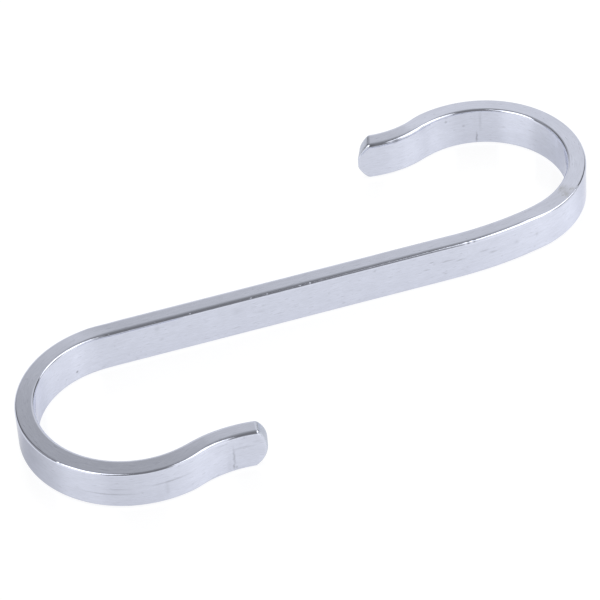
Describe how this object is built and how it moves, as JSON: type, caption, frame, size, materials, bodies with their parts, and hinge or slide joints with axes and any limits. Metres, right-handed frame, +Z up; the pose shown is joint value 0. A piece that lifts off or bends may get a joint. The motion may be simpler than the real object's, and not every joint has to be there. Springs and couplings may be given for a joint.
{
  "type": "s hook",
  "caption": "Polished flat bar bent into an S, with an open hook with a flared, rounded tip at each end, for hanging things from a rail.",
  "frame": {"origin": "centre of the hook's bounding box, on the surface that it lies on", "axes": "+X along the straight shank towards the right hook, +Y across the hooks towards the right hook's mouth side, +Z up along the bar's width"},
  "size_m": [0.1172, 0.0758, 0.008],
  "materials": {
    "chrome": "polished"
  },
  "bodies": {
    "root": {"hook": "chrome"}
  },
  "joints": []
}
